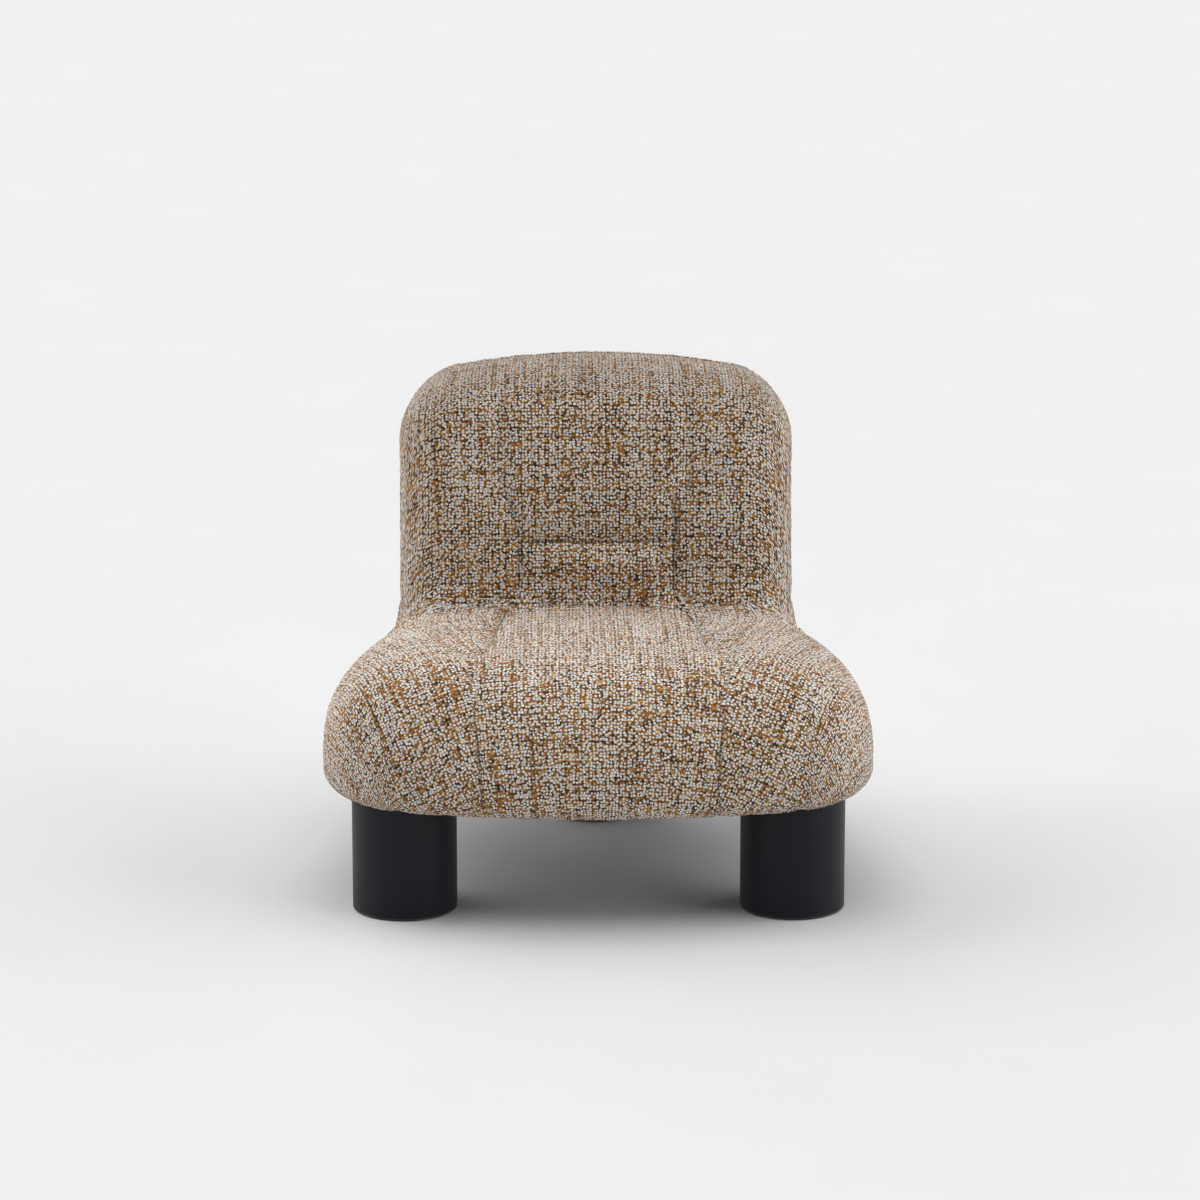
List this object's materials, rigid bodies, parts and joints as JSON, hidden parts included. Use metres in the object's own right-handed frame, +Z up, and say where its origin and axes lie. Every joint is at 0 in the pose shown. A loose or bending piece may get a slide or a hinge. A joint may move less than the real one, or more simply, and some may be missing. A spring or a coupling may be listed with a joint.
{
  "type": "low armchair",
  "caption": "Low armless lounge chair: a wide puffed seat flowing into a narrower rounded back, in chunky tweed, on fat round black legs.",
  "frame": {"origin": "on the floor, under the middle of the chair's bounding box", "axes": "+X to the sitter's left, +Y to the rear, +Z up; the chair is symmetric about the plane x = 0"},
  "size_m": [0.79, 0.728, 0.707],
  "materials": {
    "woven_cover": "heavy melange weave of off-white, ochre and dark brown yarns",
    "dust_cloth": "thin black non-woven",
    "foam": "open-cell foam",
    "frame_steel": "grey primer",
    "plug_plastic": "moulded black",
    "webbing": "elastic webbing",
    "leg_paint": "matt black powder coat",
    "cap_plastic": "moulded black",
    "felt": "pressed felt",
    "fasteners": "zinc plated"
  },
  "bodies": {
    "root": {"cover_seat_centre": "woven_cover", "cover_side_left": "woven_cover", "cover_side_right": "woven_cover", "cover_inside_back": "woven_cover", "cover_outside_back": "woven_cover", "dust_cover": "dust_cloth", "seat_foam": "foam", "back_foam": "foam", "front_rail": "frame_steel", "rear_rail": "frame_steel", "hoop_rail": "frame_steel", "side_rail_left": "frame_steel", "side_rail_right": "frame_steel", "rail_plugs": "plug_plastic", "back_hoop": "frame_steel", "hoop_brace": "frame_steel", "hoop_gussets": "frame_steel", "seat_webbing": "webbing", "back_webbing": "webbing", "mounting_plate_left": "frame_steel", "mounting_plate_right": "frame_steel", "mounting_plate_rear": "frame_steel", "leg_left": "leg_paint", "leg_right": "leg_paint", "leg_rear": "leg_paint", "base_cap_left": "cap_plastic", "base_cap_right": "cap_plastic", "base_cap_rear": "cap_plastic", "felt_pad_left": "felt", "felt_pad_right": "felt", "felt_pad_rear": "felt", "leg_washers": "fasteners", "leg_nuts": "fasteners"}
  },
  "joints": []
}
